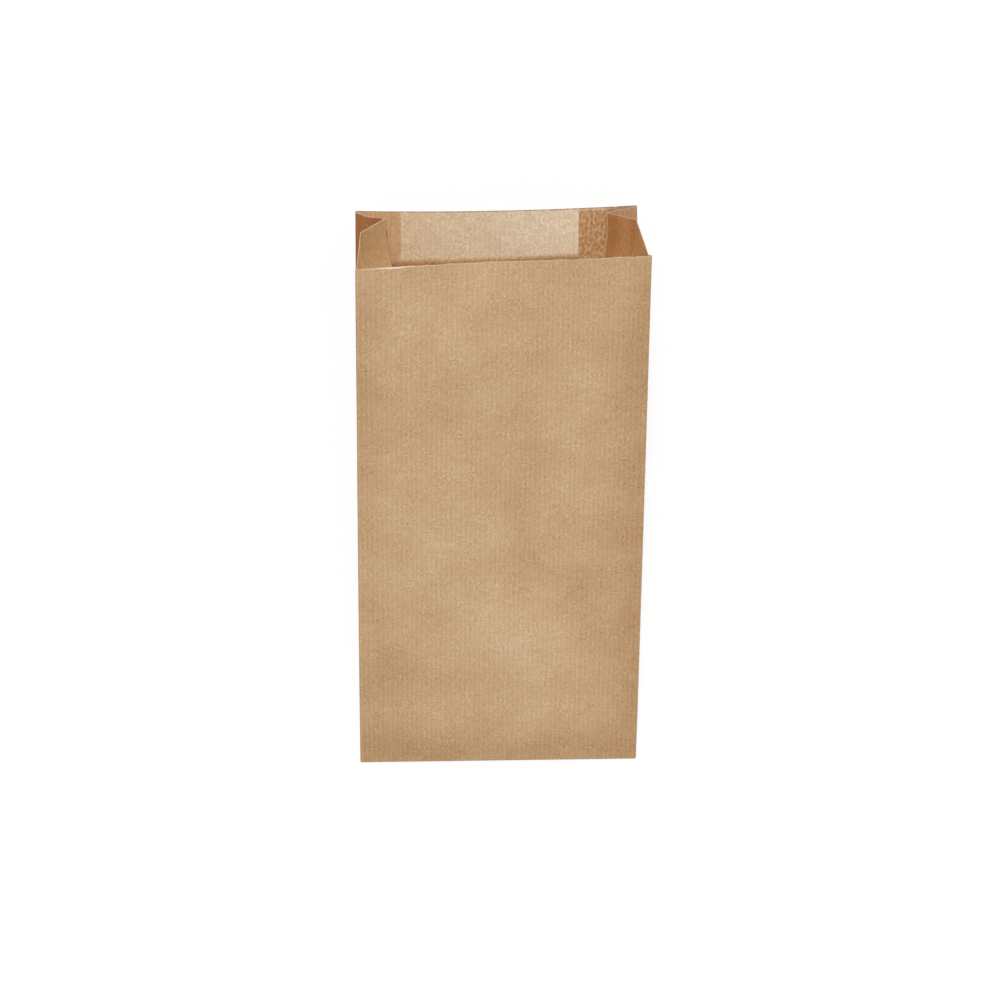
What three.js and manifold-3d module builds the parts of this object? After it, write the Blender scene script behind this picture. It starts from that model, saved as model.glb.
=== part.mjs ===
// A plain brown kraft lunch bag with folded sides, made from one sheet of paper.
// Millimetres, +Z up. The bag lies on its back panel with its mouth, toward -Y, pulled open.
// While it is built, x runs across the bag to the right of someone who looks at its front,
// s runs along it from the bottom fold to the mouth, and z is the height above the floor.
import * as THREE from 'three';
import { mergeVertices } from 'three/addons/utils/BufferGeometryUtils.js';
import Module from 'manifold-3d';

// The bag as cut, folded and glued
const bagWidth = 100;
const bagLength = 220;
const foldDepth = 25; // each side is two of these wide, folded in between front and back
const paper = 0.1; // thickness of one ply
const plyPitch = 0.3; // from ply to ply where the bag is folded flat
const bottomFlap = 18; // the front ply turned round the bottom end and glued on the back
const bottomNose = 0.6; // how far the turned end stands past the bottom fold
const gluedEnd = 1.5; // the plies are stuck together over this length at the bottom
const lapWidth = 12; // lengthwise glued lap of the sheet's long edges, in the back panel
const lapInnerEdge = 27.5; // where the lap's inner ply ends, right of the middle
const lapStep = 0.15; // width over which a ply's cut edge steps up or down
const lapRamp = 2; // past the lap the inner ply comes down to the floor over this width

// How each side stands at the open mouth.
// Its front half hangs from the front panel, lean degrees off upright, down to the middle crease.
// Its rear half is buckled into the bag: from the back edge it rises at rise degrees for rear.
// Below the mouth's edge it lies flatter by settle degrees.
// The buckle is full from station buckled to the mouth.
// The back edge itself is drawn in toward the middle of the bag.
const leftMouth = {
  opening: 39.5,
  lean: 4.3,
  rear: 10.9,
  rise: 28.3,
  settle: 12,
  buckled: 217,
  drawnIn: 1,
};
const rightMouth = {
  opening: 35.2,
  lean: 5.6,
  rear: 11.3,
  rise: 21.5,
  settle: 12,
  buckled: 214,
  drawnIn: 2.5,
};
const buckleStart = 150; // below this station the sides fold in along the middle crease alone
const liftStart = 198; // from this station to the mouth the rear halves lift off the back panel
const drawStart = 120; // from this station to the mouth the back edges draw in
const creaseFlat = 0.6; // width of paper that turns round the crease

const stations = 40; // sections along the bag

const kraft = { color: 0xc2a37e, roughness: 0.85, metalness: 0 };

const halfWidth = bagWidth / 2 - paper / 2;
const backLevel = 1.5 * paper; // middle of the back ply, which lies on the turned flap's ply
const flatStack = 3 * plyPitch + paper; // from back ply to front ply at the bottom fold
const frontLevel = backLevel + flatStack;

const blend = (from, to, share) => from + (to - from) * share;
const radians = THREE.MathUtils.degToRad;

// One side at station s, from the front edge to the back edge. The inset is from the edge fold.
// The front panel is as long as the back but slopes, so higher points lie nearer the bottom.
function foldedSide(mouth, s) {
  const gap = blend(flatStack, mouth.opening, s / bagLength);
  const half = (gap - 3 * plyPitch) / 2;
  const open = THREE.MathUtils.smoothstep(s, buckleStart, mouth.buckled);
  const lean = blend(Math.acos(half / foldDepth), radians(mouth.lean), open);
  const settled = open * (1 - THREE.MathUtils.smoothstep(s, liftStart, bagLength));
  const fullRise = blend(Math.asin(half / foldDepth), radians(mouth.rise), open);
  const rise = fullRise - radians(mouth.settle) * settled;
  const frontRun = foldDepth - creaseFlat;
  const rearRun = blend(foldDepth, mouth.rear, open);
  const frontFold = gap - plyPitch;
  const backInset = mouth.drawnIn * (Math.max(0, s - drawStart) / (bagLength - drawStart)) ** 2;
  const apexInset = backInset + rearRun * Math.cos(rise);
  const apexHeight = plyPitch + rearRun * Math.sin(rise);
  const bendInset = frontRun * Math.sin(lean);
  const aboveRear = 2 * plyPitch + (bendInset - backInset) * Math.tan(rise);
  const bendHeight = Math.max(frontFold - frontRun * Math.cos(lean), aboveRear);
  const setBack = s * (1 - Math.sqrt(1 - (mouth.opening / bagLength) ** 2));
  const points = [
    { inset: 0, height: gap },
    { inset: 0, height: frontFold },
    { inset: bendInset, height: bendHeight },
    { inset: apexInset, height: apexHeight + plyPitch },
    { inset: apexInset, height: apexHeight },
    { inset: backInset, height: plyPitch },
    { inset: backInset, height: 0 },
  ];
  return points.map(({ inset, height }) => ({ inset, height, s: s - setBack * (height / gap) }));
}

// The lap in the back panel, right to left: how far the ply edges lift its outer and inner face
function backLap(s) {
  const outerEdge = lapInnerEdge + lapWidth;
  return [
    { x: outerEdge + lapRamp, lifts: [0, 0] },
    { x: outerEdge + lapStep, lifts: [paper, paper] },
    { x: outerEdge, lifts: [0, paper] },
    { x: lapInnerEdge, lifts: [0, paper] },
    { x: lapInnerEdge - lapStep, lifts: [0, 0] },
  ].map((point) => ({ ...point, height: 0, s }));
}

// Middle line of the paper at station s: down the right side, along the back, up the left side
function section(s) {
  const right = foldedSide(rightMouth, s).map((p) => ({ ...p, x: halfWidth - p.inset }));
  const left = foldedSide(leftMouth, s).map((p) => ({ ...p, x: p.inset - halfWidth }));
  const loop = [...right, ...backLap(s), ...left.reverse()];
  return loop.map((p) => ({ lifts: [0, 0], ...p, z: backLevel + p.height }));
}

// Both faces of the paper at station s: the middle line moved half a ply out and in, with mitres
function wallSection(s) {
  const loop = section(s);
  const direction = (a, b) => new THREE.Vector2(b.x - a.x, b.z - a.z).normalize();
  const faces = [[], []];
  loop.forEach((point, i) => {
    const before = direction(loop.at(i - 1), point);
    const after = direction(point, loop[(i + 1) % loop.length]);
    const normal = new THREE.Vector2(-before.y - after.y, before.x + after.x);
    const mitre = normal.multiplyScalar(paper / normal.lengthSq());
    [1, -1].forEach((way, face) => {
      const x = point.x + way * mitre.x;
      const z = point.z + way * mitre.y + point.lifts[face];
      faces[face].push(new THREE.Vector3(x, point.s, z));
    });
  });
  return faces;
}

// The folded tube, open at both ends: outer and inner face, and the cut edges that join them
function paperTube() {
  const rings = [];
  for (let i = 0; i <= stations; i += 1) {
    rings.push(wallSection((bagLength * i) / stations));
  }
  const around = rings[0][0].length;
  const vertex = (ring, face, k) => (ring * 2 + face) * around + (k % around);
  const index = [];
  const quad = (a, b, c, d) => index.push(a, b, c, a, c, d);
  for (let k = 0; k < around; k += 1) {
    for (let i = 0; i < stations; i += 1) {
      quad(vertex(i, 0, k), vertex(i, 0, k + 1), vertex(i + 1, 0, k + 1), vertex(i + 1, 0, k));
      quad(vertex(i, 1, k), vertex(i + 1, 1, k), vertex(i + 1, 1, k + 1), vertex(i, 1, k + 1));
    }
    quad(vertex(0, 0, k + 1), vertex(0, 0, k), vertex(0, 1, k), vertex(0, 1, k + 1));
    quad(
      vertex(stations, 0, k),
      vertex(stations, 0, k + 1),
      vertex(stations, 1, k + 1),
      vertex(stations, 1, k),
    );
  }
  const geometry = new THREE.BufferGeometry().setFromPoints(rings.flat(2));
  geometry.setIndex(index);
  return geometry;
}

// The turned bottom end: it closes the tube and runs under the back panel as a glued flap
function turnedBottom() {
  const top = frontLevel + paper / 4;
  const profile = new THREE.Shape();
  profile.moveTo(gluedEnd, top);
  profile.lineTo(0, top);
  profile.absellipse(0, top / 2, bottomNose, top / 2, Math.PI / 2, 1.5 * Math.PI, false);
  profile.lineTo(bottomFlap, 0);
  profile.lineTo(bottomFlap, backLevel);
  profile.lineTo(gluedEnd, backLevel);
  const geometry = new THREE.ExtrudeGeometry(profile, {
    depth: 2 * halfWidth,
    curveSegments: 8,
    bevelEnabled: false,
  });
  const along = new THREE.Vector3(0, 1, 0);
  const up = new THREE.Vector3(0, 0, 1);
  const across = new THREE.Vector3(1, 0, 0);
  geometry.applyMatrix4(new THREE.Matrix4().makeBasis(along, up, across));
  geometry.translate(-halfWidth, 0, 0);
  return geometry;
}

const wasm = await Module();
wasm.setup();

function toSolid(geometry) {
  const bare = geometry.clone();
  bare.deleteAttribute('normal');
  bare.deleteAttribute('uv');
  const merged = mergeVertices(bare);
  const vertProperties = new Float32Array(merged.attributes.position.array);
  const triVerts = new Uint32Array(merged.index.array);
  return new wasm.Manifold(new wasm.Mesh({ numProp: 3, vertProperties, triVerts }));
}

function toGeometry(solid) {
  const { vertProperties, triVerts } = solid.getMesh();
  const geometry = new THREE.BufferGeometry();
  geometry.setAttribute('position', new THREE.BufferAttribute(vertProperties, 3));
  geometry.setIndex(new THREE.BufferAttribute(triVerts, 1));
  geometry.computeVertexNormals();
  return geometry;
}

const bagGeometry = toGeometry(toSolid(paperTube()).add(toSolid(turnedBottom())));
const bag = new THREE.Mesh(bagGeometry, new THREE.MeshStandardMaterial(kraft));
bag.name = 'paper_bag';

// Turned so that the mouth faces -Y, with the middle of the bag's outline over the origin
bag.rotation.z = Math.PI;
bag.position.y = (bagLength - bottomNose) / 2;

const model = new THREE.Group();
model.add(bag);

export default model;
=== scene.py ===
import math

import bmesh
import bpy
from mathutils import Matrix, Vector, noise


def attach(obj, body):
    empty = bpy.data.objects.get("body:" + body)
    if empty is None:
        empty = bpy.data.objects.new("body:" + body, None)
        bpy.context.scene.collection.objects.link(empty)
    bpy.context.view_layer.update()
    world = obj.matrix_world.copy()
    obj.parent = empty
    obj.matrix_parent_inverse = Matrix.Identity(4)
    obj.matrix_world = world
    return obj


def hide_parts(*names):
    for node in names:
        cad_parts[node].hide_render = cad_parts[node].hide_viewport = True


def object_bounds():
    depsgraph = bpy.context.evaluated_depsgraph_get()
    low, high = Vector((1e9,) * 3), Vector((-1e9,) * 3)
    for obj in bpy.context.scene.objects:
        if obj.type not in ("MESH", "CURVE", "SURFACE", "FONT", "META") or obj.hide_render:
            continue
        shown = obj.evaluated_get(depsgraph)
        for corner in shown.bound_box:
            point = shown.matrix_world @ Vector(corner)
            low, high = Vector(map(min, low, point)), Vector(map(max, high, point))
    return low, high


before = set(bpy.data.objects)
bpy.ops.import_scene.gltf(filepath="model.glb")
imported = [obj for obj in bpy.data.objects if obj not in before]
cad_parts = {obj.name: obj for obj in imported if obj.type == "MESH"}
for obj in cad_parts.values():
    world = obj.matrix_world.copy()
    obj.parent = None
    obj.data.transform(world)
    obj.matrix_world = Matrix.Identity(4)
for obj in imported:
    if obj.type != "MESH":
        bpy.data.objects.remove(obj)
cadLow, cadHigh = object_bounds()
scene = bpy.context.scene
scene.view_settings.view_transform = "Standard"
mm = 0.001
print("frame loaded")


def lerp(a, b, t):
    return a + (b - a) * t


def smooth(x, start, end):
    t = min(1.0, max(0.0, (x - start) / (end - start)))
    return t * t * (3 - 2 * t)


# Camera: it looks down into the mouth of the lying bag, with the mouth at the top of the picture
cameraSet = {
    "azimuth": 5.137,
    "elevation": 61.895,
    "roll": 174.132,
    "distance": 1.7504,
    "aim": (-0.0001, -0.00396, 0.01306),
    "lens": 180.0,
    "sensor": 36.0,
}


def makeCamera(c):
    a, e, r = (math.radians(c[k]) for k in ("azimuth", "elevation", "roll"))
    back = Vector((math.sin(a) * math.cos(e), -math.cos(a) * math.cos(e), math.sin(e)))
    right = Vector((math.cos(a), math.sin(a), 0))
    up = back.cross(right)
    right, up = right * math.cos(r) + up * math.sin(r), up * math.cos(r) - right * math.sin(r)
    data = bpy.data.cameras.new("camera")
    data.lens = c["lens"]
    data.sensor_width = c["sensor"]
    camera = bpy.data.objects.new("camera", data)
    scene.collection.objects.link(camera)
    turn = Matrix((right, up, back)).transposed().to_4x4()
    camera.matrix_world = Matrix.Translation(Vector(c["aim"]) + back * c["distance"]) @ turn
    scene.camera = camera


makeCamera(cameraSet)
print("camera made")

# The bag, in millimetres. u runs across it to the right of the picture, s along it from the
# bottom fold to the mouth, and heights are above the middle of the back ply.
sheet = {
    "width": 100.0,
    "length": 220.0,
    "foldDepth": 25.0,  # half of a folded side
    "flap": 18.0,  # front ply turned round the bottom and glued to the back
    "nose": 0.6,  # how far the turn stands past the bottom fold
    "pitch": (0.17, 0.3),  # ply to ply, at the glued bottom end and from gluedEnd on
    "gluedEnd": 25.0,
    "paper": 0.14,
    "backLevel": 0.22,
    "flapLevel": 0.07,
    "lapOuter": 39.5,  # the sheet's two long edges, glued over each other in the back
    "lapInner": 27.5,
    "lapLift": 0.17,
    "lapRamp": 2.2,
    "lapStep": 0.2,
    "buckleFrom": 150.0,  # from here the sides' rear halves buckle inward, in full from buckleTo
    "liftAt": (198.0, 220.0),  # the rear halves lie flatter by settle degrees, and lift here
    "crease": 0.6,  # paper that goes round a tight fold
    "lip": 0.1,  # half of the paper that goes round an edge fold
    "foldRound": 0.4,  # how far a tight fold bulges, in plies
    "clearance": 2.3,  # least height of a side's bend above its rear half, in plies
    "archFrom": 140.0,  # from here the back panel rises off the floor toward its mouth edge
    "arch": 1.8,
    "archHalf": 48.0,
    "shift": 0.35,  # the mouth leans this far to the right
    "skew": 1.35,  # the bottom fold isn't square: its left end lies this much nearer the mouth
    "rough": 0.3,  # unevenness of the front's cut edge at the mouth
    "roughStep": 1.7,
    "roughSeed": (2.3, 0.4),
    "rowStep": 2.5,
    "turnRows": 6,
    "flapRows": 6,
    "mapSpan": 320.0,  # side of the paper map's unit square
    "mapBelow": 40.0,  # how far the map's zero lies below the bottom fold
}
leftMouth = {
    "opening": 39.4, "lean": 4.3, "rear": 10.9, "rise": 28.3, "buckleTo": 217.0, "settle": 12.0,
    "backIn": 1.0, "narrowFrom": -40.0, "pinch": 0.5, "drop": 0.5, "bow": 1.3,
}
rightMouth = {
    "opening": 35.0, "lean": 5.6, "rear": 11.2, "rise": 21.5, "buckleTo": 214.0, "settle": 12.0,
    "backIn": 2.7, "narrowFrom": 120.0, "pinch": 1.1, "drop": 0.9, "bow": 0.4,
}
# Soft swells (+) and dents (-) of the front panel: u, s, reach across, reach along, height
frontSwells = [
    (-12, 226, 21, 26, -1.5),
    (-20, 182, 18, 22, 0.5),
    (11, 108, 7, 50, -0.35),
    (4, 55, 12, 18, 0.5),
    (27, 64, 9, 14, -0.4),
    (40, 112, 7, 38, -0.3),
    (-30, 110, 16, 40, 0.3),
    (-36, 40, 10, 24, -0.3),
]
fineSwells = [(0.14, 21, 27, 1.7), (0.05, 8, 10, 5.3)]  # height, size across, size along, seed
swellFade = (3, 26)  # the swells begin over this stretch above the bottom fold
# Loose unevenness of the sides: height, the gap from which it is full, and its sizes
looseSides = {"height": 0.25, "fullGap": 12, "across": 9, "cells": 2, "along": 17}
bowPeak = 27 / 4  # makes the bow's highest point 1
# Soft patches of painted shade (-) and painted light (+) on the front panel, for its undulations,
# edges and bottom: u, s, reach across, reach along, tone
frontShadePatches = [
    (-24, 197, 17, 24, 0.07),
    (-20, 96, 17, 38, 0.10),
    (6, 56, 15, 20, 0.13),
    (10, 41, 7, 8, 0.06),
    (25, 150, 9, 36, 0.06),
    (7, 115, 6, 28, -0.06),
    (28, 76, 13, 17, -0.10),
    (16, 62, 9, 16, 0.09),
    (50, 195, 9, 36, -0.16),
    (50, 120, 11, 70, -0.22),
    (50, 35, 12, 40, -0.22),
    (-50, 165, 8, 50, -0.15),
    (-46, 30, 18, 36, -0.15),
    (-30, 3, 40, 9, -0.20),
    (30, 3, 40, 9, -0.18),
]
# Columns of the sheet between its folds, in the order of the flat sheet, with their cells
stretches = [
    ("back", 56), ("backLeftFold", 2), ("leftRear", 14), ("leftTuck", 2), ("leftBuckle", 8),
    ("leftFront", 16), ("frontLeftFold", 2), ("front", 64), ("frontRightFold", 2),
    ("rightFront", 16), ("rightBuckle", 8), ("rightTuck", 2), ("rightRear", 14),
    ("backRightFold", 2), ("backRight", 6), ("lapRamp", 3), ("lap", 8),
]
easing = 0.75  # columns stand closer together next to a fold
# How frayed and pale the mouth's cut edge is, by stretch, and the front's most frayed spot
frayed = {
    "leftRear": 0.45, "leftTuck": 0.5, "leftBuckle": 0.6, "leftFront": 0.5,
    "frontLeftFold": 0.7, "frontRightFold": 0.4,
    "rightFront": 0.5, "rightBuckle": 0.3, "rightTuck": 0.3, "rightRear": 0.25,
}
frontFray = {"spot": 1.3, "rest": 0.35, "at": -37.0, "reach": 8.5, "past": 0.25}
creased = (0.8, 1.3)  # how worn the left and right side's inner crease is
# Which way each tight fold bulges across the bag
foldBulge = {"backLeftFold": -1, "leftTuck": 1, "frontLeftFold": -1,
             "frontRightFold": 1, "rightTuck": -1, "backRightFold": 1}


def pitchAt(s):
    return lerp(*sheet["pitch"], smooth(s, 0, sheet["gluedEnd"]))


def sideFold(mouth, s):
    # one folded side at s: its folds as (inset, height), its rear half's length of paper,
    # the gap between front and back, and how far the side is buckled
    pitch, depth, lip = pitchAt(s), sheet["foldDepth"], sheet["lip"]
    narrowFrom = mouth["narrowFrom"]  # from here the back panel's edge draws in
    narrow = max(0.0, (s - narrowFrom) / (sheet["length"] - narrowFrom)) ** 2
    gap = lerp(3 * pitch + sheet["paper"], mouth["opening"], s / sheet["length"])
    half = (gap - 3 * pitch) / 2
    wide = smooth(s, sheet["buckleFrom"], mouth["buckleTo"])
    lean = lerp(math.acos(half / depth), math.radians(mouth["lean"]), wide)
    rise = lerp(math.asin(half / depth), math.radians(mouth["rise"]), wide)
    rise -= math.radians(mouth["settle"]) * wide * (1 - smooth(s, *sheet["liftAt"]))
    rear = lerp(depth, mouth["rear"], wide)
    backIn = lip + mouth["backIn"] * narrow
    pinch = lerp(lip, mouth["pinch"], wide)
    drop = lerp(pitch, mouth["drop"], wide)
    run = depth - sheet["crease"]
    apexIn, apexUp = backIn + rear * math.cos(rise), pitch + rear * math.sin(rise)
    bendIn, bendUp = pinch + run * math.sin(lean), gap - drop - run * math.cos(lean)
    bendUp = max(bendUp, sheet["clearance"] * pitch + (bendIn - backIn) * math.tan(rise))
    folds = [
        (backIn, 0.0),
        (backIn, pitch),
        (apexIn, apexUp),
        (apexIn, apexUp + pitch),
        (bendIn, bendUp),
        (pinch, gap - drop),
        (lip, gap),
    ]
    return folds, min(rear, run), gap, wide


def sectionAt(s):
    # the folds at s in the order of the flat sheet: (u, height, place across the flat sheet)
    half, depth, lip = sheet["width"] / 2, sheet["foldDepth"], sheet["lip"]
    outer, inner = sheet["lapOuter"], sheet["lapInner"]
    leftFolds, leftRear, leftGap, _ = sideFold(leftMouth, s)
    rightFolds, rightRear, rightGap, wide = sideFold(rightMouth, s)

    def places(rear):
        tuck = sheet["crease"] / 2
        return [-lip, lip, rear, rear + tuck, depth, 2 * depth - lip, 2 * depth + lip]

    backLeft = outer + half
    backRight = backLeft + 4 * depth + sheet["width"]
    foot, step = outer + sheet["lapRamp"], outer + sheet["lapStep"]
    keys = [(outer, 0.0, 0.0)]
    keys += [(i - half, h, backLeft + p) for (i, h), p in zip(leftFolds, places(leftRear))]
    right = [(half - i, h, backRight - p) for (i, h), p in zip(rightFolds, places(rightRear))]
    keys += reversed(right)
    keys += [
        (u, h, backRight + half - u)
        for u, h in ((foot, 0.0), (step, sheet["lapLift"]), (inner, sheet["lapLift"]))
    ]
    return {"keys": keys, "leftGap": leftGap, "rightGap": rightGap, "wide": wide}


def swellAt(u, s):
    # how far the front panel stands off its flat plane
    rise = sum(
        height * math.exp(-(((u - cu) / ru) ** 2) - ((s - cs) / rs) ** 2)
        for cu, cs, ru, rs, height in frontSwells
    )
    for height, across, along, seed in fineSwells:
        rise += height * noise.noise(Vector((u / across, s / along, seed)))
    edges = 1 - (abs(u) / (sheet["width"] / 2)) ** 4
    return rise * edges * smooth(s, *swellFade)


# painted light and shade on the front panel, from the patches above
def frontShadeAt(u, s):
    return sum(
        tone * math.exp(-(((u - cu) / ru) ** 2) - ((s - cs) / rs) ** 2)
        for cu, cs, ru, rs, tone in frontShadePatches
    )


def foldedPoint(section, stretch, t, s):
    # a point of the sheet after folding: u, place along the bag, height, place across the sheet
    name = stretches[stretch][0]
    (u0, h0, p0), (u1, h1, p1) = section["keys"][stretch:stretch + 2]
    u, h = lerp(u0, u1, t), lerp(h0, h1, t)
    wide = section["wide"]
    if name in foldBulge and 0 < t < 1:
        u = (u0 if abs(u0) > abs(u1) else u1) if name.startswith("front") else u
        u += foldBulge[name] * sheet["foldRound"] * min(abs(h1 - h0), pitchAt(s))
    if name in ("leftRear", "rightRear"):
        mouth = leftMouth if name == "leftRear" else rightMouth
        foot = t if name == "leftRear" else 1 - t
        h += mouth["bow"] * wide * bowPeak * foot * (1 - foot) ** 2  # fullest near the back edge
    flat = name.startswith(("back", "lap"))
    if flat:
        lift = sheet["arch"] * smooth(s, sheet["archFrom"], sheet["length"])
        h += lift * (1 - (u / sheet["archHalf"]) ** 2)
    side = u / sheet["width"] + 0.5
    gap = lerp(section["leftGap"], section["rightGap"], side)
    opening = lerp(leftMouth["opening"], rightMouth["opening"], side)
    length = sheet["length"]
    along = s - s * (1 - math.sqrt(1 - (opening / length) ** 2)) * (h / gap)
    if name == "front":
        h += swellAt(u, s)
    elif not flat and name not in foldBulge:
        loose = min(1.0, gap / looseSides["fullGap"]) * 4 * t * (1 - t)
        across = p0 / looseSides["across"] + t * looseSides["cells"]
        bumps = noise.noise(Vector((stretch, across, s / looseSides["along"])))
        h += looseSides["height"] * loose * bumps
    return u + sheet["shift"] * s / length, along, h, lerp(p0, p1, t)


def skewAt(u, s):
    return sheet["skew"] * (0.5 - u / sheet["width"]) * (1 - s / sheet["length"])


def fraySpotAt(u):
    return math.exp(-(((u - frontFray["at"]) / frontFray["reach"]) ** 2))


def roughAt(u, s):
    if s < sheet["length"]:
        return 0.0
    rough = sheet["rough"] * noise.noise(Vector((u / sheet["roughStep"], *sheet["roughSeed"])))
    return rough + frontFray["past"] * fraySpotAt(u)  # torn fibres stand past the edge


def turnedPoint(row, u):
    # the front ply below the bottom fold: round the turn, then flat under the back panel
    top = 3 * pitchAt(0) + sheet["paper"]
    floor = sheet["flapLevel"] - sheet["backLevel"]
    kind, share = row
    reach = math.pi * (top - floor) / 4
    if kind == "turn":
        angle = math.pi * share
        mid, radius = (top + floor) / 2, (top - floor) / 2
        return u, -sheet["nose"] * math.sin(angle), mid + radius * math.cos(angle), -reach * share
    return u, sheet["flap"] * share, floor, -reach - sheet["flap"] * share


def makeBag():
    columns = []
    for i, (_, cells) in enumerate(stretches):
        for k in range(cells):
            t = k / cells
            columns.append((i, t - easing * math.sin(2 * math.pi * t) / (2 * math.pi)))
    columns.append((len(stretches) - 1, 1.0))
    flapRows = [("flap", 1 - k / sheet["flapRows"]) for k in range(sheet["flapRows"])]
    turnRows = [("turn", 1 - k / sheet["turnRows"]) for k in range(sheet["turnRows"])]
    wallRows = int(sheet["length"] / sheet["rowStep"])
    rows = flapRows + turnRows + [("wall", k * sheet["rowStep"]) for k in range(wallRows + 1)]
    below = len(flapRows) + len(turnRows)
    frontColumns = [c for c, (i, t) in enumerate(columns) if stretches[i][0] == "front"]
    firstFront, lastFront = frontColumns[0], frontColumns[-1] + 1
    middle = columns[firstFront][0]

    bm = bmesh.new()
    frontShadeLayer = bm.verts.layers.float.new("tone")
    frayLayer = bm.verts.layers.float.new("fray")
    creaseLayer = bm.verts.layers.float.new("crease")
    paperMap = bm.loops.layers.uv.new("paper")
    bmesh.ops.create_grid(bm, x_segments=len(columns) - 1, y_segments=len(rows) - 1, size=0.5)
    cell = {
        v: (round((v.co.x + 0.5) * (len(columns) - 1)), round((v.co.y + 0.5) * (len(rows) - 1)))
        for v in bm.verts
    }
    waste = [
        f for f in bm.faces
        if any(cell[v][1] < below for v in f.verts)
        and not all(firstFront <= cell[v][0] <= lastFront for v in f.verts)
    ]
    bmesh.ops.delete(bm, geom=waste, context="FACES")

    sections = {s: sectionAt(s) for kind, s in rows if kind == "wall"}
    bottomFold = cadHigh.y / mm - sheet["nose"]
    paperPlace = {}
    for v in bm.verts:
        column, row = cell[v]
        i, t = columns[column]
        kind, s = rows[row]
        if kind == "wall":
            u, along, h, across = foldedPoint(sections[s], i, t, s)
            along += skewAt(u, s)
            paperPlace[v] = (across, s)
            name = stretches[i][0]
            v[frayLayer] = frayed.get(name, 0.0)
            if name == "front":
                # painted light and shade of the front panel's undulations
                v[frontShadeLayer] = frontShadeAt(u, s)
                along += roughAt(u, s)
                v[frayLayer] = lerp(frontFray["rest"], frontFray["spot"], fraySpotAt(u))
            if "Tuck" in name or (t == 0 and "Tuck" in stretches[i - 1][0]):
                v[creaseLayer] = sections[s]["wide"] * creased[i > middle]
        else:
            u, along, h, across = foldedPoint(sections[0.0], i, t, 0.0)
            u, along, h, s = turnedPoint(rows[row], u)
            along += skewAt(u, 0)
            paperPlace[v] = (across, s)
        v.co = Vector((-u, bottomFold - along, sheet["backLevel"] + h)) * mm
    for f in bm.faces:
        f.smooth = True
        for loop in f.loops:
            p, s = paperPlace[loop.vert]
            loop[paperMap].uv = (p / sheet["mapSpan"], (s + sheet["mapBelow"]) / sheet["mapSpan"])
    for e in bm.edges:
        e.smooth = not e.is_boundary
    mesh = bpy.data.meshes.new("paperBag")
    bm.to_mesh(mesh)
    bm.free()
    piece = bpy.data.objects.new("paperBag", mesh)
    scene.collection.objects.link(piece)
    wall = piece.modifiers.new("paper thickness", "SOLIDIFY")
    wall.thickness = sheet["paper"] * mm
    wall.offset = 0
    wall.use_even_offset = False
    wall.material_offset = 1
    wall.material_offset_rim = 2
    return piece


paperBag = makeBag()
print("bag folded:", len(paperBag.data.polygons), "cells")


def put(tree, kind, values=None, **settings):
    node = tree.nodes.new(kind)
    for name, value in settings.items():
        setattr(node, name, value)
    for name, value in (values or {}).items():
        node.inputs[name].default_value = value
    return node


def calc(tree, operation, a, b=None, c=None):
    node = tree.nodes.new("ShaderNodeMath")
    node.operation = operation
    for socket, value in zip(node.inputs, (a, b, c)):
        if isinstance(value, (int, float)):
            socket.default_value = value
        elif value is not None:
            tree.links.new(value, socket)
    return node.outputs[0]


def ramp(tree, value, start, end, low=0.0, high=1.0):
    node = put(tree, "ShaderNodeMapRange", {1: start, 2: end, 3: low, 4: high},
               interpolation_type="SMOOTHSTEP")
    tree.links.new(value, node.inputs[0])
    return node.outputs[0]


def mixColours(tree, share, a, b, blend="MIX"):
    node = put(tree, "ShaderNodeMix", data_type="RGBA", blend_type=blend)
    for socket, value in ((node.inputs[0], share), (node.inputs[6], a), (node.inputs[7], b)):
        if isinstance(value, (int, float, tuple)):
            socket.default_value = value
        else:
            tree.links.new(value, socket)
    return node.outputs[2]


# Kraft paper's own texture, on paper coordinates in millimetres
grain = {
    "ribStep": 1.72,
    "ribWander": {"Distortion": 1.3, "Detail": 1.5, "Detail Scale": 0.5},
    "fleck": (0.8, 2.0, 0.55),  # size, detail, roughness, as in the next three
    "mottle": (2.6, 1.0, 0.5),
    "clouds": (16.0, 2.5, 0.55),
    "patches": (7.0, 1.0, 0.5),  # the grain comes out stronger in some patches than in others
    "patchBand": (0.3, 0.7),
    "patchRange": (0.6, 1.4),
    "fibreSize": (0.36, 1.6),
    "fibreWander": {"Detail": 1.0, "Roughness": 0.5, "Distortion": 0.6},
    "fibreShare": 0.32,
    "relief": (0.6, 0.4),  # shares of fleck and ribs in the height
}
waveRate = 20  # radians that a wave texture of scale 1 turns in one unit


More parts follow.
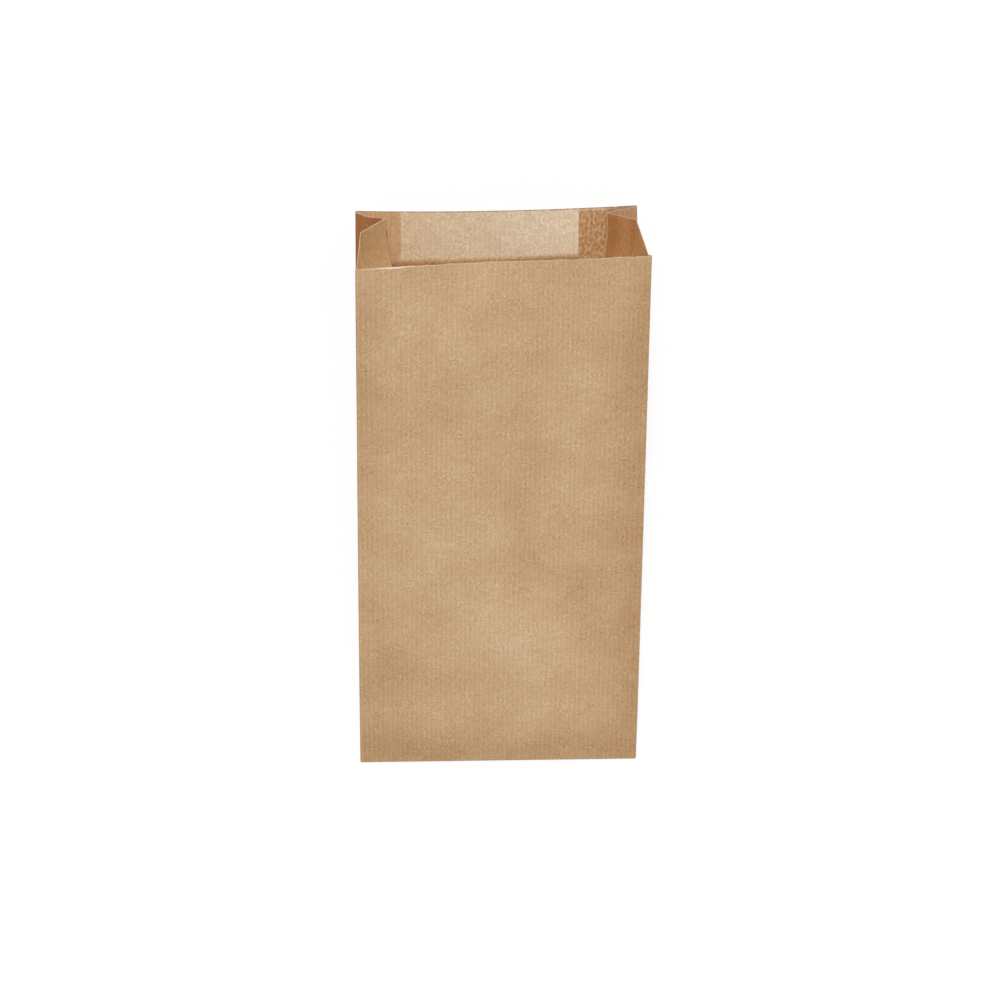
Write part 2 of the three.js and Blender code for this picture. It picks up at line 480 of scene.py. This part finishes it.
def makeKraftGrain(g):
    group = bpy.data.node_groups.new("kraft grain", "ShaderNodeTree")
    sockets = group.interface
    sockets.new_socket("Paper", in_out="INPUT", socket_type="NodeSocketVector")
    for name in ("Ribs", "Fleck", "Mottle", "Clouds"):
        sockets.new_socket(name, in_out="INPUT", socket_type="NodeSocketFloat")
    for name in ("Tone", "Height"):
        sockets.new_socket(name, in_out="OUTPUT", socket_type="NodeSocketFloat")
    given = group.nodes.new("NodeGroupInput")
    made = group.nodes.new("NodeGroupOutput")
    link = group.links.new

    ribs = put(group, "ShaderNodeTexWave",
               {"Scale": 2 * math.pi / (waveRate * g["ribStep"]), **g["ribWander"]},
               wave_type="BANDS", bands_direction="X", wave_profile="SIN")
    link(given.outputs["Paper"], ribs.inputs["Vector"])

    def noiseOf(size, detail, roughness):
        node = put(group, "ShaderNodeTexNoise",
                   {"Scale": 1 / size, "Detail": detail, "Roughness": roughness})
        link(given.outputs["Paper"], node.inputs["Vector"])
        return node.outputs["Fac"]

    fleck, mottle, clouds = (noiseOf(*g[name]) for name in ("fleck", "mottle", "clouds"))
    patchy = ramp(group, noiseOf(*g["patches"]), *g["patchBand"], *g["patchRange"])
    stretch = put(group, "ShaderNodeMapping",
                  {"Scale": (1 / g["fibreSize"][0], 1 / g["fibreSize"][1], 1)})
    link(given.outputs["Paper"], stretch.inputs["Vector"])
    fibre = put(group, "ShaderNodeTexNoise", {"Scale": 1.0, **g["fibreWander"]})
    link(stretch.outputs[0], fibre.inputs["Vector"])

    def around(value, amount):
        return calc(group, "MULTIPLY", calc(group, "SUBTRACT", value, 0.5), amount)

    ribPart = around(ribs.outputs["Fac"], given.outputs["Ribs"])
    share = g["fibreShare"]
    mixed = calc(group, "MULTIPLY_ADD", fibre.outputs["Fac"], share,
                 calc(group, "MULTIPLY", fleck, 1 - share))
    fleckPart = calc(group, "MULTIPLY", around(mixed, given.outputs["Fleck"]), patchy)
    softPart = calc(group, "ADD", around(mottle, given.outputs["Mottle"]),
                    around(clouds, given.outputs["Clouds"]))
    tone = calc(group, "ADD", calc(group, "ADD", ribPart, fleckPart), softPart)
    link(calc(group, "ADD", tone, 0.5), made.inputs["Tone"])
    fleckShare, ribShare = g["relief"]
    ribHeight = calc(group, "MULTIPLY", ribs.outputs["Fac"], ribShare)
    link(calc(group, "MULTIPLY_ADD", mixed, fleckShare, ribHeight), made.inputs["Height"])
    return group


kraftGrain = makeKraftGrain(grain)

# Paper colours: three stops of the grain's tone, and zones across the flat sheet with tints of
# painted light and shade
outsideKraft = {
    "name": "kraft outside",
    "dark": (0.37, 0.20, 0.088, 1),
    "middle": (0.52, 0.341, 0.186, 1),
    "light": (0.69, 0.51, 0.335, 1),
    "ribs": 0.09, "fleck": 1.35, "mottle": 0.26, "clouds": 0.42, "bump": 0.12,
    # painted shade of the folded sides' outer faces, in the notches by the mouth
    "paintedShadingZones": [(89.5, 139.5, 0.2, (0.545, 0.325, 0.213, 1)),
              (239.5, 289.5, 0.2, (0.75, 0.66, 0.62, 1))],
    "paintedShadingFade": (165.0, 205.0, 0.4, 1.0),  # along the bag, the painted shade is weaker below the mouth
}
insideKraft = {
    "name": "kraft inside",
    "dark": (0.36, 0.19, 0.08, 1),
    "middle": (0.52, 0.32, 0.168, 1),
    "light": (0.68, 0.48, 0.30, 1),
    "ribs": 0.06, "fleck": 1.25, "mottle": 0.36, "clouds": 0.25, "bump": 0.12,
    # painted light and shade: the folded sides' inner faces, and the back panel beside their
    # creases and under the right side
    "paintedShadingZones": [
        (73.1, 74.0, 0.2, (1.05, 1.07, 1.09, 1)),
        (74.4, 89.5, 0.2, (0.95, 0.965, 0.965, 1)),
        (89.5, 114.5, 0.3, (0.97, 0.965, 0.88, 1)),
        (114.5, 139.5, 0.3, (1.62, 1.70, 1.68, 1)),
        (239.5, 264.5, 0.6, (1.2, 1.02, 0.76, 1)),
        (264.5, 289.5, 0.6, (0.67, 0.488, 0.275, 1)),
        (266.5, 272.0, 3.0, (1.20, 1.36, 1.74, 1)),
        (289.5, 302.0, 0.8, (0.74, 0.74, 0.74, 1)),
    ],
    "ragged": (0.8, 2.0),  # scale and detail of the noise that tears the marks' borders
    "paintedLight": (12.5, 73.9),  # painted light on the back panel's middle, across the flat sheet
    "paintedLightTear": (1.2, 0.7),  # how far its two borders wander
    "paintedLightSoft": (0.6, 0.5),  # how softly they end
    "paintedLightTints": ((1.25, 1.65, 2.27, 1), (1.10, 1.345, 1.69, 1)),  # at its two sides
    "paintedLightCloud": (0.16, 3.0, 0.9),  # scale, detail and strength of the clouds in the tint
    "paintedLightEnd": (203.5, 204.9, 0.018),  # along the sheet, ragged, and its slant across
    "endTear": 2.6,
    "paintedShadowTint": (0.60, 0.50, 0.40, 1),  # painted shadow of the front panel's mouth edge, right behind that end
    "paintedShadowEnd": (201.9, 204.3),
    "pasted": ((0.265, 0.116, 0.037, 1), (0.40, 0.22, 0.09, 1), (0.58, 0.38, 0.215, 1)),
    "pasteStops": (0.36, 0.5, 0.64),
    "pasteMottle": (1.1, 2.5, 0.5),  # scale, detail, and stretch along the bag
    "pasteShare": 0.75,
    "pasteFrom": (298.5, 299.1),  # across the sheet
    "pasteEnd": (219.3, 220.1),  # along it, ragged: the mouth's edge has no paste
    "pasteTear": 1.2,
    "bareShare": 0.85,
    "roughness": 0.6,  # of the noise in these marks
}
cutEdge = {
    "name": "kraft cut edge",
    "dark": (0.60, 0.43, 0.28, 1),
    "middle": (0.76, 0.60, 0.445, 1),
    "light": (0.88, 0.75, 0.60, 1),
    "ribs": 0.0, "fleck": 1.0, "mottle": 0.0, "clouds": 0.2, "bump": 0.1,
    "paintedShadingZones": [],
    "shaded": (0.30, 0.195, 0.125, 1),  # painted shade, where the edge isn't frayed
}
wear = {
    "colour": (0.77, 0.61, 0.465, 1),
    # how far the paler, frayed strip reaches from the mouth's cut edge: at all, and in full
    "strip": (0.5, 0.5 / 3),
    "edge": 0.8,
    "plainBelow": 0.2,  # the same strip is painted shade on the inside where there is no fray
    "torn": (0.84, 0.66, 0.555, 1),
    "tornFray": (1.0, 1.3),  # the fray from which the edge is torn
    "broken": {"Scale": 0.9, "Detail": 2.0},  # the strip comes and goes
    "brokenBand": (0.35, 0.6),
    "brokenRange": (0.35, 1.0),
    "crease": 0.36,
    "creaseColour": (0.84, 0.60, 0.39, 1),
}

matt = {
    "toneBand": (0.2, 0.8),  # from darker to paler grain the paper is a little smoother
    "roughness": (0.92, 0.78),
    "specular": 0.25,
    "relief": 0.0001,  # metres
}


def addMarks(tree, k, colour, paper, across, along):
    # the inside's marks: painted light on the back panel's middle, the painted shadow of the
    # front's mouth edge deeper in, the paste-soaked lap
    def noiseOf(scale, detail, stretch=1.0):
        turned = put(tree, "ShaderNodeMapping", {"Scale": (1.0, stretch, 1.0)})
        tree.links.new(paper, turned.inputs["Vector"])
        node = put(tree, "ShaderNodeTexNoise",
                   {"Scale": scale, "Detail": detail, "Roughness": k["roughness"]})
        tree.links.new(turned.outputs[0], node.inputs["Vector"])
        return node.outputs["Fac"]

    def tinted(base, tint):
        return mixColours(tree, 1.0, base, tint, "MULTIPLY")

    ragged = noiseOf(*k["ragged"])
    first, last = k["paintedLight"]
    # painted light on the back panel's middle
    firstLine, lastLine = (
        calc(tree, "MULTIPLY_ADD", ragged, tear, across) for tear in k["paintedLightTear"]
    )
    firstSoft, lastSoft = k["paintedLightSoft"]
    strip = calc(tree, "MULTIPLY", ramp(tree, firstLine, first, first + firstSoft),
                 ramp(tree, lastLine, last + lastSoft, last))
    start, end, slant = k["paintedLightEnd"]
    depth = calc(tree, "MULTIPLY_ADD", across, slant, along)
    depth = calc(tree, "MULTIPLY_ADD", ragged, k["endTear"], depth)
    strip = calc(tree, "MULTIPLY", strip, ramp(tree, depth, start, end))
    scale, detail, strength = k["paintedLightCloud"]
    side = ramp(tree, across, first, last)
    side = calc(tree, "MULTIPLY_ADD", noiseOf(scale, detail), strength, side)
    tint = mixColours(tree, calc(tree, "SUBTRACT", side, strength / 2), *k["paintedLightTints"])
    paintedLight = tinted(colour, tint)
    colour = mixColours(tree, strip, colour, paintedLight)
    # painted shadow of the front panel's mouth edge on the back panel
    paintedShadow = calc(tree, "MULTIPLY", ramp(tree, depth, k["paintedShadowEnd"][1], k["paintedShadowEnd"][0]),
                ramp(tree, across, sheet["lapOuter"] + sheet["width"] / 2, last))
    colour = mixColours(tree, paintedShadow, colour, tinted(colour, k["paintedShadowTint"]))
    mottle = put(tree, "ShaderNodeValToRGB")
    stops = mottle.color_ramp.elements
    stops[0].position, middle, stops[1].position = k["pasteStops"]
    stops[0].color, stops[1].color = k["pasted"][0], k["pasted"][2]
    stops.new(middle).color = k["pasted"][1]
    tree.links.new(noiseOf(*k["pasteMottle"]), mottle.inputs["Fac"])
    lap = ramp(tree, across, *k["pasteFrom"])
    end = calc(tree, "MULTIPLY_ADD", ragged, k["pasteTear"], along)
    bare = calc(tree, "MULTIPLY", lap, ramp(tree, end, *k["pasteEnd"]))
    # the lap's bare end by the mouth takes the painted light too
    colour = mixColours(tree, calc(tree, "MULTIPLY", bare, k["bareShare"]), colour, paintedLight)
    soaked = calc(tree, "MULTIPLY", calc(tree, "SUBTRACT", lap, bare), k["pasteShare"])
    return mixColours(tree, soaked, colour, mottle.outputs["Color"])


def makeKraft(k):
    material = bpy.data.materials.new(k["name"])
    material.use_nodes = True
    tree = material.node_tree
    shader = tree.nodes["Principled BSDF"]
    link = tree.links.new
    uv = put(tree, "ShaderNodeUVMap", uv_map="paper")
    place = put(tree, "ShaderNodeMapping", {
        "Location": (0, -sheet["mapBelow"], 0),
        "Scale": (sheet["mapSpan"], sheet["mapSpan"], 1),
    })
    link(uv.outputs[0], place.inputs["Vector"])
    paper = place.outputs[0]
    texture = put(tree, "ShaderNodeGroup", node_tree=kraftGrain)
    for name in ("ribs", "fleck", "mottle", "clouds"):
        texture.inputs[name.title()].default_value = k[name]
    link(paper, texture.inputs["Paper"])
    marks = {
        name: put(tree, "ShaderNodeAttribute", attribute_name=name).outputs["Fac"]
        for name in ("tone", "fray", "crease")
    }
    colours = put(tree, "ShaderNodeValToRGB")
    stops = colours.color_ramp.elements
    stops[0].color, stops[1].color = k["dark"], k["light"]
    stops.new(0.5).color = k["middle"]
    tone = texture.outputs["Tone"]
    # only the outside takes the front panel's painted light and shade
    if k is outsideKraft:
        tone = calc(tree, "ADD", tone, marks["tone"])
    link(tone, colours.inputs["Fac"])
    colour = colours.outputs["Color"]
    split = put(tree, "ShaderNodeSeparateXYZ")
    link(paper, split.inputs[0])
    across, along = split.outputs[0], split.outputs[1]
    if k is insideKraft:
        colour = addMarks(tree, k, colour, paper, across, along)
    # zones of painted light and shade across the flat sheet
    for start, end, soft, tint in k["paintedShadingZones"]:
        paintedZone = calc(tree, "MULTIPLY", ramp(tree, across, start - soft, start + soft),
                    ramp(tree, across, end + soft, end - soft))
        if "paintedShadingFade" in k:
            paintedZone = calc(tree, "MULTIPLY", paintedZone, ramp(tree, along, *k["paintedShadingFade"]))
        colour = mixColours(tree, paintedZone, colour, mixColours(tree, 1.0, colour, tint, "MULTIPLY"))
    if k is cutEdge:
        # the rim is painted shade where it isn't frayed
        colour = mixColours(tree, marks["fray"], k["shaded"], colour)
    else:
        broken = put(tree, "ShaderNodeTexNoise", wear["broken"])
        link(paper, broken.inputs["Vector"])
        start, full = wear["strip"]
        tornShare = ramp(tree, marks["fray"], *wear["tornFray"])
        reach = calc(tree, "MULTIPLY_ADD", tornShare, full, along)
        rim = ramp(tree, reach, sheet["length"] - start, sheet["length"] - full)
        worn = ramp(tree, broken.outputs["Fac"], *wear["brokenBand"], *wear["brokenRange"])
        rim = calc(tree, "MULTIPLY", rim, calc(tree, "ADD", tornShare, worn))
        if k is insideKraft:
            # painted shade along the inside of the unfrayed cut edge
            plain = calc(tree, "MULTIPLY", rim, ramp(tree, marks["fray"], wear["plainBelow"], 0.0))
            colour = mixColours(tree, plain, colour, cutEdge["shaded"])
        rim = calc(tree, "MULTIPLY", calc(tree, "MULTIPLY", rim, marks["fray"]), wear["edge"])
        line = calc(tree, "MULTIPLY", marks["crease"], wear["crease"])
        colour = mixColours(tree, line, colour, wear["creaseColour"])
        torn = mixColours(tree, tornShare, wear["colour"], wear["torn"])
        colour = mixColours(tree, rim, colour, torn)
    link(colour, shader.inputs["Base Color"])
    roughness = ramp(tree, texture.outputs["Tone"], *matt["toneBand"], *matt["roughness"])
    link(roughness, shader.inputs["Roughness"])
    shader.inputs["Specular IOR Level"].default_value = matt["specular"]
    bump = put(tree, "ShaderNodeBump", {"Strength": k["bump"], "Distance": matt["relief"]})
    link(texture.outputs["Height"], bump.inputs["Height"])
    link(bump.outputs[0], shader.inputs["Normal"])
    return material


for finish in (outsideKraft, insideKraft, cutEdge):
    paperBag.data.materials.append(makeKraft(finish))
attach(paperBag, "root")
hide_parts("paper_bag")
print("kraft paper finished")

studio = {
    "floorSize": 12.0,
    "floorColour": (0.93, 0.93, 0.93, 1),
    "floorGlow": 0.86,  # share of plain white that the camera sees on the floor
    "ambient": 0.44,
    "lamps": {  # direction that the light comes from, strength, softness in degrees
        "key": ((0.045, -0.5, 0.85), 1.06, 10.0),
        "fill": ((0.045, -0.82, 0.57), 2.3, 12.0),
    },
}


def seenDirectly(tree):
    rays = put(tree, "ShaderNodeLightPath")
    return calc(tree, "MAXIMUM", rays.outputs["Is Camera Ray"], rays.outputs["Is Glossy Ray"])


def makeStudio(s):
    bm = bmesh.new()
    bmesh.ops.create_grid(bm, x_segments=1, y_segments=1, size=s["floorSize"] / 2)
    mesh = bpy.data.meshes.new("floor")
    bm.to_mesh(mesh)
    bm.free()
    floor = bpy.data.objects.new("floor", mesh)
    scene.collection.objects.link(floor)
    material = bpy.data.materials.new("white floor")
    material.use_nodes = True
    tree = material.node_tree
    tree.nodes.clear()
    plain = put(tree, "ShaderNodeBsdfDiffuse", {"Color": s["floorColour"]})
    glow = put(tree, "ShaderNodeEmission", {"Color": (1, 1, 1, 1), "Strength": 1.0})
    mix = put(tree, "ShaderNodeMixShader")
    out = put(tree, "ShaderNodeOutputMaterial")
    share = calc(tree, "MULTIPLY", seenDirectly(tree), s["floorGlow"])
    tree.links.new(share, mix.inputs[0])
    tree.links.new(plain.outputs[0], mix.inputs[1])
    tree.links.new(glow.outputs[0], mix.inputs[2])
    tree.links.new(mix.outputs[0], out.inputs["Surface"])
    mesh.materials.append(material)

    world = bpy.data.worlds.new("studio")
    scene.world = world
    world.use_nodes = True
    tree = world.node_tree
    background = tree.nodes["Background"]
    background.inputs["Color"].default_value = (1, 1, 1, 1)
    level = calc(tree, "MULTIPLY_ADD", seenDirectly(tree), 1 - s["ambient"], s["ambient"])
    tree.links.new(level, background.inputs["Strength"])

    for name, (source, strength, softness) in s["lamps"].items():
        light = bpy.data.lights.new(name, "SUN")
        light.energy = strength
        light.angle = math.radians(softness)
        lamp = bpy.data.objects.new(name, light)
        lamp.rotation_euler = Vector(source).to_track_quat("Z", "Y").to_euler()
        scene.collection.objects.link(lamp)


makeStudio(studio)
print("studio lit")
